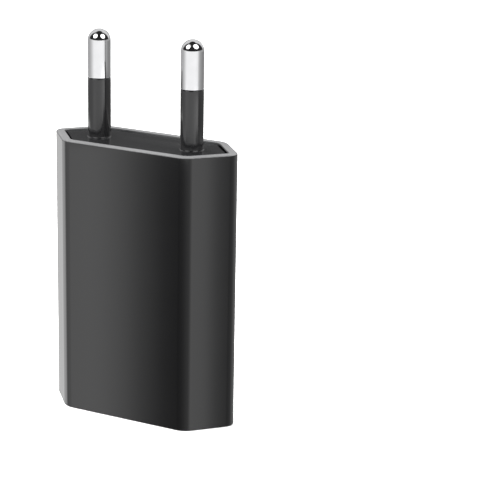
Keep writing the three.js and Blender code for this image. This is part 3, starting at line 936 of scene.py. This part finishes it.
def makeCans():
    finishes = {}
    for node, can in cans.items():
        low, high = [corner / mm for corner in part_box(node)]
        middle, radius = (low + high) / 2, (high.x - low.x) / 2
        soft = 0.45
        profile = [
            (0, low.z + 0.25), (radius - 0.9, low.z + 0.25), (radius - 0.8, low.z + 0.02), (radius - 0.35, low.z),
            *arc((radius - soft, low.z + soft), soft, 300, 360, 4),
            (radius, low.z + 1.2), (radius - 0.1, low.z + 1.36), (radius - 0.3, low.z + 1.5), (radius - 0.3, low.z + 1.65),
            (radius - 0.1, low.z + 1.79), (radius, low.z + 1.95),
            *arc((radius - soft, high.z - soft), soft, 0, 78, 5),
            (radius - 0.75, high.z - 0.02), (radius - 0.8, high.z - 0.12), (0, high.z - 0.12),
        ]
        piece = startSpin("can", profile, (middle.x, middle.y), 48)
        bpy.ops.object.mode_set(mode="OBJECT")
        for x, z in ((radius * 0.95, 0.16), (0.16, radius * 0.95)):  # the scored vent is a cross
            score = startBox("score", (middle.x - x * 0.62, middle.x + x * 0.62),
                             (middle.y - z * 0.62, middle.y + z * 0.62), (high.z - 0.24, high.z + 1))
            bpy.ops.object.mode_set(mode="OBJECT")
            combine(piece, score, "DIFFERENCE")
        leads = [addLead("lead", [(middle.y, low.z + 0.3), (middle.y, low.z - can["leadRun"] + 0.25), (middle.y + 0.25, low.z - can["leadRun"]),
                                  (boardFront + 0.1, low.z - can["leadRun"])], middle.x + side * can["lead"])
                 for side in (-1, 1)]
        name = node.title().replace("_", "")
        piece = joinPieces([piece, *leads], name[0].lower() + name[1:])
        kind = "largeCanSleeve" if radius > 3 else "smallCanSleeve"
        if kind not in finishes:
            tones = ((0.012, 0.016, 0.045), (0.022, 0.030, 0.075)) if radius > 3 else ((0.010, 0.035, 0.022), (0.018, 0.055, 0.035))
            finishes[kind] = makeCanFinish(kind, {"dark": tones[0], "light": tones[1], "stripe": middle.y - radius * 0.93})
        finishPiece(piece, finishes[kind], [node])
        paint(piece, rawAluminium, lambda n, c: c.z > high.z - 0.3 and (c.xy - middle.xy).length < radius - 0.7)
        paint(piece, epoxyBlack, lambda n, c: low.z + 0.26 > c.z > low.z - 0.001 and (c.xy - middle.xy).length < radius - 0.75)
        paint(piece, tinnedLead, lambda n, c: c.z < low.z - 0.001 or (c.z < low.z + 0.4 and abs(abs(c.x - middle.x) - can["lead"]) < 0.27
                                                                   and abs(c.y - middle.y) < 0.27))


makeCans()
print("capacitors done")


# small parts
def makeSmallParts():
    low, high = [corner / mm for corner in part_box("fusible_resistor")]
    middle = (low + high) / 2
    soft = [(0, 0), (0.7, 0.02), (1.0, 0.1), (1.2, 0.3), (1.29, 0.6), (1.3, 1.0), (1.24, 1.3), (1.13, 1.55), (1.1, 1.9)]
    profile = [(r, low.z + z) for r, z in soft] + [(r, high.z - z) for r, z in soft[::-1]]
    piece = startSpin("fusibleResistor", profile, (middle.x, middle.y), 40)
    bpy.ops.object.mode_set(mode="OBJECT")
    leads = [addLead("lead", [(middle.y, z - side * 0.3), (middle.y, z + side * 0.2), (middle.y + 0.3, z + side * 0.45),
                              (boardFront + 0.1, z + side * 0.45)], middle.x + 0.4)
             for side, z in ((-1, low.z), (1, high.z))]
    piece = joinPieces([piece, *leads], "fusibleResistor")
    finishPiece(piece, makeResistorFinish(), ["fusible_resistor"])
    paint(piece, tinnedLead, lambda n, c: c.z < low.z - 0.001 or c.z > high.z + 0.001)

    low, high = [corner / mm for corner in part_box("safety_capacitor")]
    middle, radius = (low + high) / 2, (high.z - low.z) / 2
    half = (high.x - low.x) / 2
    lens = [(0, -half), (radius * 0.5, -half + 0.02), (radius * 0.78, -half + 0.22), *arc((radius - half * 0.72, 0), half * 0.72, -60, 60, 8),
            (radius * 0.78, half - 0.22), (radius * 0.5, half - 0.02), (0, half)]
    piece = startSpin("safetyCapacitor", lens, steps=48)
    bpy.ops.object.mode_set(mode="OBJECT")
    turnPiece(piece, 1, 90)
    piece.location = (middle.x * mm, middle.y * mm, middle.z * mm)
    applyPlace()
    legs = [addLead("leg", [(middle.y + 1.2, middle.z + side * 1.4), (boardFront + 0.1, middle.z + side * 1.9)], middle.x)
            for side in (-1, 1)]
    piece = joinPieces([piece, *legs], "safetyCapacitor")
    finishPiece(piece, blueCeramic, ["safety_capacitor"])
    paint(piece, tinnedLead, lambda n, c: c.y > middle.y + 2.2 and abs(c.x - middle.x) < 0.28
          and abs(abs(c.z - middle.z) - 1.75) < 0.45)

    for node, soft in (("power_transistor", 0.12), ("bridge_rectifier", 0.14), ("output_diode", 0.14), ("controller_chip", 0.08)):
        low, high = [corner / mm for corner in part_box(node)]
        middle = (low + high) / 2
        name = node.title().replace("_", "")
        name = name[0].lower() + name[1:]
        piece = copyNode(node, name, soft, 3)
        extras = []
        if node == "power_transistor":
            hole = startSpin("hole", [(0, -5), (0.9, -5), (0.9, 5), (0, 5)], steps=24)
            bpy.ops.object.mode_set(mode="OBJECT")
            turnPiece(hole, 1, 90)
            hole.location = (middle.x * mm, (low.y + 1.7) * mm, middle.z * mm)
            applyPlace()
            combine(piece, hole, "DIFFERENCE")
        else:
            half = (high.x - low.x) / 2
            onBack = low.y > boardBack
            y = (low.y + high.y) / 2
            foot = boardBack + 0.09 if onBack else boardFront - 0.09
            wide, places = {"bridge_rectifier": (0.6, (-1.27, 1.27)), "output_diode": (1.4, (0,)),
                            "controller_chip": (0.4, (-1.905, -0.635, 0.635, 1.905))}[node]
            line = [(y, half - 0.1), (y, half + 0.12), (foot, half + 0.3), (foot, half + 0.72)]
            for place in places:
                for side in (-1, 1):
                    lead = sideLead("lead", line, place, side, wide)
                    lead.location = (middle.x * mm, 0, middle.z * mm)
                    deselectAll()
                    lead.select_set(True)
                    bpy.context.view_layer.objects.active = lead
                    applyPlace()
                    extras.append(lead)
        mark = startSpin("mark", [(0, -0.07), (0.28, -0.07), (0.34, 1), (0, 1)], steps=20)  # the first lead's dimple
        bpy.ops.object.mode_set(mode="OBJECT")
        if node == "controller_chip":
            turnPiece(mark, 0, -90)
            mark.location = ((middle.x - 1.2) * mm, high.y * mm, (high.z - 0.9) * mm)
            applyPlace()
            combine(piece, mark, "DIFFERENCE")
        else:
            bpy.data.objects.remove(mark)
        if extras:
            piece = joinPieces([piece, *extras], name)
        finishPiece(piece, epoxyBlack, [node])
        if node == "power_transistor":
            paint(piece, tinnedLead, lambda n, c: c.y < low.y + 0.59 or c.y > high.y - 0.99)
        else:
            paint(piece, tinnedLead, lambda n, c: abs(c.x - middle.x) > half + 0.001 or (
                abs(c.x - middle.x) > half - 0.12 and abs(c.y - y) < 0.09 and abs(n.x) < 0.3))

    for i in range(1, 5):
        node = f"chip_resistor_{i}"
        piece = copyNode(node, f"chipResistor{i}", 0.05)
        finishPiece(piece, epoxyBlack, [node])
        middle = (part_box(node)[0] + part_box(node)[1]) / 2 / mm
        bisectAt = (middle.x - 0.5, middle.x + 0.5)
        bpy.ops.object.mode_set(mode="EDIT")
        for x in bisectAt:  # the metal ends
            bpy.ops.mesh.select_all(action="SELECT")
            bpy.ops.mesh.bisect(plane_co=(x * mm, 0, 0), plane_no=(1, 0, 0))
        bpy.ops.object.mode_set(mode="OBJECT")
        paint(piece, tinnedLead, lambda n, c: abs(c.x - middle.x) > 0.5)

    low, high = [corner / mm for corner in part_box("output_choke_core")]
    middle, radius = (low + high) / 2, (high.x - low.x) / 2
    spool = [(0, low.z), (radius, low.z), (radius, low.z + 0.9), (1.3, low.z + 0.9), (1.3, high.z - 0.9),
             (radius, high.z - 0.9), (radius, high.z), (0, high.z)]
    piece = startSpin("chokeSpool", spool, (middle.x, middle.y), 48)
    bpy.ops.object.mode_set(mode="OBJECT")
    addModifier(piece, "BEVEL", width=0.1 * mm, segments=2, limit_method="ANGLE", angle_limit=radians(50))
    finishPiece(piece, ferriteGrey, ["output_choke_core"])
    low, high = [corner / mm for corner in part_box("output_choke_winding")]
    radius = (high.x - low.x) / 2
    wire = 0.18
    ripples = []
    z = low.z + wire
    while z < high.z - wire + 0.01:
        ripples += arc((radius - wire, z), wire, -80, 80, 5)
        z += wire * 2
    coil = startSpin("chokeWinding", [(1.6, low.z), *ripples, (1.6, high.z), (1.6, low.z)], (middle.x, middle.y), 48)
    bpy.ops.object.mode_set(mode="OBJECT")
    ends = [addLead("end", [(middle.y + radius - 0.3, z), (boardFront + 0.1, z - 1.2)], middle.x - offset, 0.36, 0.36, 0.1)
            for z, offset in ((low.z + 0.4, 1.7), (low.z + 0.4, 0.6))]
    coil = joinPieces([coil, *ends], "chokeWinding")
    finishPiece(coil, copperWire, ["output_choke_winding"])

    for side in ("left", "right"):
        piece = copyNode("pin_contact_" + side, "pinStrip" + side.title(), 0.08)
        finishPiece(piece, sheetBrass, ["pin_contact_" + side])


makeSmallParts()
print("small parts done")

# stage, light and camera
studio = {
    "tentRadius": 120, "tentLow": -90, "tentHigh": 330, "riseFrom": 62,
    "floorTone": (0.90, 0.90, 0.90), "floorGap": 0.04, "skyToCamera": 1.0, "skyToObject": 0.75, "skyInGloss": 0.03,
    "underBright": 0.4, "underDim": 0.85, "glintSize": 92, "glintBright": 3.6,
}
# brightness round the tent, as (degrees from the front towards the left, brightness) for each height zone
rings = [
    {"name": "body", "low": -90, "stops": [
        (-180, 0.5), (-150, 0.9), (-125, 0.8), (-105, 0.45), (-73, 0.32), (-70.5, 0.36), (-68.8, 0.8), (-67.3, 1.65), (-62, 1.6),
        (-50, 0.95), (-43, 0.65), (-20, 0.3), (-8, 0.18), (22, 0.08), (25, 0.18), (28, 0.75), (30, 1.3), (33, 1.8), (35, 1.75),
        (40, 1.45), (54, 1.2), (68, 0.85), (73, 0.9), (79, 2.5), (87, 2.4), (96, 2.0), (106, 1.4), (116, 1.05), (138, 0.95),
        (160, 0.6), (180, 0.5)]},
    {"name": "collar", "low": 22.2, "rise": 5.0, "stops": [
        (-180, 0.24), (-150, 0.24), (-115, 0.32), (-100, 0.25), (-94, 0.4), (-86, 2.6), (-75, 2.5), (-60, 2.1), (-45, 1.65),
        (-31, 1.5), (-10, 1.4), (10, 1.55), (25, 1.55), (43, 1.0), (66, 0.66), (92, 0.34), (120, 0.34), (180, 0.24)]},
    {"name": "metal", "low": 34, "rise": 1.5, "stops": [
        (-180, 0.35), (-140, 0.33), (-107, 0.52), (-92, 0.8), (-82, 1.25), (-60, 1.4), (-31, 1.38), (20, 1.36), (36, 1.2),
        (43, 1.0), (58, 0.78), (75, 0.58), (112, 0.55), (180, 0.35)]},
    {"name": "dome", "low": 52, "rise": 0, "stops": [
        (-180, 0.6), (-142, 0.5), (-107, 0.52), (-92, 0.8), (-82, 1.25), (-60, 1.4), (-31, 1.38), (20, 1.36), (36, 1.2),
        (58, 0.78), (75, 0.58), (125, 0.6), (131, 0.1), (167, 0.1), (173, 0.6), (180, 0.6)]},
    {"name": "top", "low": 76, "rise": 0, "stops": [
        (-180, 0.95), (-150, 0.95), (-140, 0.03), (78, 0.03), (88, 0.7), (125, 0.7), (131, 0.1), (167, 0.1), (173, 0.7), (180, 0.8)]},
    {"name": "crown", "low": 104, "rise": 0, "stops": [
        (-180, 0.95), (-150, 0.95), (-140, 0.03), (78, 0.03), (88, 0.9), (180, 0.95)]},
]


def ringBrightness(nodes, links, angle, ring):  # linear steps between the ring's stops
    curve = nodes.new("ShaderNodeFloatCurve")
    points = curve.mapping.curves[0].points
    top = max(v for _, v in ring)
    stops = [((a + 180) / 360, v / top) for a, v in ring]
    points[0].location = stops[0]
    points[1].location = stops[-1]
    for place in stops[1:-1]:
        points.new(*place)
    for point in points:
        point.handle_type = "VECTOR"
    curve.mapping.update()
    links.new(angle, curve.inputs["Value"])
    scale = nodes.new("ShaderNodeMath")
    scale.operation = "MULTIPLY"
    scale.inputs[1].default_value = top
    links.new(curve.outputs["Value"], scale.inputs[0])
    return scale.outputs[0]


def hideFromAllButGloss(piece):
    piece.visible_camera = False
    piece.visible_diffuse = False
    piece.visible_shadow = False
    piece.visible_transmission = False


def makeTent():
    # a round light tent that only shows in reflections
    deselectAll()
    low, high, radius = studio["tentLow"], studio["tentHigh"], studio["tentRadius"]
    bpy.ops.mesh.primitive_cylinder_add(vertices=96, radius=radius * mm, depth=(high - low) * mm,
                                        end_fill_type="NOTHING", location=(0, 0, (high + low) / 2 * mm))
    applyPlace()
    tent = bpy.context.object
    tent.name = "lightTent"
    hideFromAllButGloss(tent)
    finish, nodes, links, shader = newFinish("tentLight")
    nodes.remove(shader)
    glow = nodes.new("ShaderNodeEmission")
    place = nodes.new("ShaderNodeTexCoord")
    parts = nodes.new("ShaderNodeSeparateXYZ")
    links.new(place.outputs["Object"], parts.inputs["Vector"])
    flipX = nodes.new("ShaderNodeMath")
    flipX.operation = "MULTIPLY"
    flipX.inputs[1].default_value = -1
    links.new(parts.outputs["X"], flipX.inputs[0])
    flipY = nodes.new("ShaderNodeMath")
    flipY.operation = "MULTIPLY"
    flipY.inputs[1].default_value = -1
    links.new(parts.outputs["Y"], flipY.inputs[0])
    turn = nodes.new("ShaderNodeMath")
    turn.operation = "ARCTAN2"
    links.new(flipX.outputs[0], turn.inputs[0])
    links.new(flipY.outputs[0], turn.inputs[1])
    angle = spread(nodes, links, turn.outputs[0], 0, 1, -pi, pi)
    sideways = nodes.new("ShaderNodeMath")  # the zones rise towards the left and the right
    sideways.operation = "ABSOLUTE"
    links.new(parts.outputs["X"], sideways.inputs[0])
    brightness = ringBrightness(nodes, links, angle, rings[0]["stops"])
    for ring in rings[1:]:
        step = nodes.new("ShaderNodeMix")
        rise = spread(nodes, links, sideways.outputs[0], 0, ring["rise"] * mm, studio["riseFrom"] * mm, studio["tentRadius"] * mm)
        level = nodes.new("ShaderNodeMath")
        level.operation = "SUBTRACT"
        links.new(parts.outputs["Z"], level.inputs[0])
        links.new(rise, level.inputs[1])
        height = spread(nodes, links, level.outputs[0], 0, 1, (ring["low"] - 0.5) * mm, (ring["low"] + 0.5) * mm)
        links.new(height, step.inputs["Factor"])
        links.new(brightness, step.inputs["A"])
        links.new(ringBrightness(nodes, links, angle, ring["stops"]), step.inputs["B"])
        brightness = step.outputs["Result"]
    links.new(brightness, glow.inputs["Strength"])
    links.new(glow.outputs["Emission"], nodes["Material Output"].inputs["Surface"])
    tent.data.materials.append(finish)


def makeUnderLight():
    # a round soft light under the tent, dimmer along its middle, that only shows in reflections
    deselectAll()
    bpy.ops.mesh.primitive_circle_add(vertices=96, radius=studio["tentRadius"] * mm, fill_type="NGON",
                                      location=(0, 0, studio["tentLow"] * mm))
    applyPlace()
    disc = bpy.context.object
    disc.name = "underLight"
    hideFromAllButGloss(disc)
    finish, nodes, links, shader = newFinish("underGlow")
    nodes.remove(shader)
    glow = nodes.new("ShaderNodeEmission")
    place = nodes.new("ShaderNodeTexCoord")
    parts = nodes.new("ShaderNodeSeparateXYZ")
    links.new(place.outputs["Object"], parts.inputs["Vector"])
    distance = nodes.new("ShaderNodeMath")
    distance.operation = "ABSOLUTE"
    links.new(parts.outputs["Y"], distance.inputs[0])
    links.new(spread(nodes, links, distance.outputs[0], studio["underBright"], studio["underDim"], 0.02, 0.09), glow.inputs["Strength"])
    links.new(glow.outputs["Emission"], nodes["Material Output"].inputs["Surface"])
    disc.data.materials.append(finish)


def addGlint(name, place, target):  # a glowing disc that the rounded pin ends mirror
    deselectAll()
    bpy.ops.mesh.primitive_circle_add(vertices=64, radius=studio["glintSize"] / 2 * mm, fill_type="NGON")
    disc = bpy.context.object
    disc.name = name
    disc.location = [v * mm for v in place]
    disc.rotation_euler = (Vector(target) - Vector(place)).to_track_quat("-Z", "Y").to_euler()
    applyPlace()
    hideFromAllButGloss(disc)
    finish, nodes, links, shader = newFinish(name + "Glow")
    nodes.remove(shader)
    glow = nodes.new("ShaderNodeEmission")
    glow.inputs["Strength"].default_value = studio["glintBright"]
    links.new(glow.outputs["Emission"], nodes["Material Output"].inputs["Surface"])
    disc.data.materials.append(finish)


def makeFloor():
    deselectAll()
    bpy.ops.mesh.primitive_plane_add(size=6, location=(0, 0, -studio["floorGap"] * mm))
    floor = bpy.context.object
    floor.name = "floor"
    floor.visible_glossy = False
    floor.visible_diffuse = False
    floor.visible_shadow = False
    finish, nodes, links, shader = newFinish("paleFloor")
    shader.inputs["Base Color"].default_value = (*studio["floorTone"], 1)
    shader.inputs["Roughness"].default_value = 0.9
    shader.inputs["Specular IOR Level"].default_value = 0.0
    clear = nodes.new("ShaderNodeBsdfTransparent")
    facing = nodes.new("ShaderNodeNewGeometry")
    choice = nodes.new("ShaderNodeMixShader")
    links.new(facing.outputs["Backfacing"], choice.inputs[0])
    links.new(shader.outputs[0], choice.inputs[1])
    links.new(clear.outputs[0], choice.inputs[2])
    links.new(choice.outputs[0], nodes["Material Output"].inputs["Surface"])
    floor.data.materials.append(finish)


def makeSky():
    world = bpy.data.worlds.new("studioSky")
    bpy.context.scene.world = world
    world.use_nodes = True
    nodes, links = world.node_tree.nodes, world.node_tree.links
    rays = nodes.new("ShaderNodeLightPath")
    seen = nodes.new("ShaderNodeMix")
    seen.inputs["A"].default_value = studio["skyToObject"]
    seen.inputs["B"].default_value = studio["skyToCamera"]
    links.new(rays.outputs["Is Camera Ray"], seen.inputs["Factor"])
    gloss = nodes.new("ShaderNodeMix")
    gloss.inputs["B"].default_value = studio["skyInGloss"]
    links.new(rays.outputs["Is Glossy Ray"], gloss.inputs["Factor"])
    links.new(seen.outputs["Result"], gloss.inputs["A"])
    links.new(gloss.outputs["Result"], nodes["Background"].inputs["Strength"])
    nodes["Background"].inputs["Color"].default_value = (1, 1, 1, 1)


def addSoftbox(name, place, target, size, power):
    data = bpy.data.lights.new(name, "AREA")
    data.shape = "DISK"
    data.size = size * mm
    data.energy = power
    light = bpy.data.objects.new(name, data)
    bpy.context.scene.collection.objects.link(light)
    light.location = [v * mm for v in place]
    light.rotation_mode = "QUATERNION"
    light.rotation_quaternion = (Vector(target) - Vector(place)).to_track_quat("-Z", "Y")
    light.visible_camera = False
    light.visible_glossy = False


def makeCamera():
    view = {"turn": 31.009, "rise": 16.377, "away": 342.243, "lens": 145.796, "aimHeight": 30.0,
            "aimRight": 16.763, "aimUp": 1.165, "roll": 0.974}
    turn, rise = radians(view["turn"]), radians(view["rise"])
    back = Vector((sin(turn) * cos(rise), -cos(turn) * cos(rise), sin(rise)))
    right = Vector((cos(turn), sin(turn), 0))
    middle = Vector((0, 0, view["aimHeight"]))
    place = middle + back * view["away"]
    target = middle + right * view["aimRight"] + back.cross(right) * view["aimUp"]
    data = bpy.data.cameras.new("camera")
    data.lens = view["lens"]
    data.sensor_width = 36
    data.clip_start = 0.01
    camera = bpy.data.objects.new("camera", data)
    bpy.context.scene.collection.objects.link(camera)
    camera.location = place * mm
    camera.rotation_mode = "QUATERNION"
    camera.rotation_quaternion = (target - place).to_track_quat("-Z", "Y") @ Quaternion((0, 0, 1), radians(view["roll"]))
    bpy.context.scene.camera = camera


makeTent()
makeUnderLight()
makeFloor()
makeSky()
addSoftbox("overheadSoftbox", (-60, 40, 420), (0, 0, 20), 220, 5.0)
for name, place in (("Left", (-40, -81, 150)), ("Right", (80, -14, 148))):
    addSoftbox("domeLight" + name, place, (0, 0, 62), studio["glintSize"], 0.2)
    addGlint("glint" + name, place, (0, 0, 62))
makeCamera()
bpy.context.scene.view_settings.view_transform = "Standard"
print("stage done")
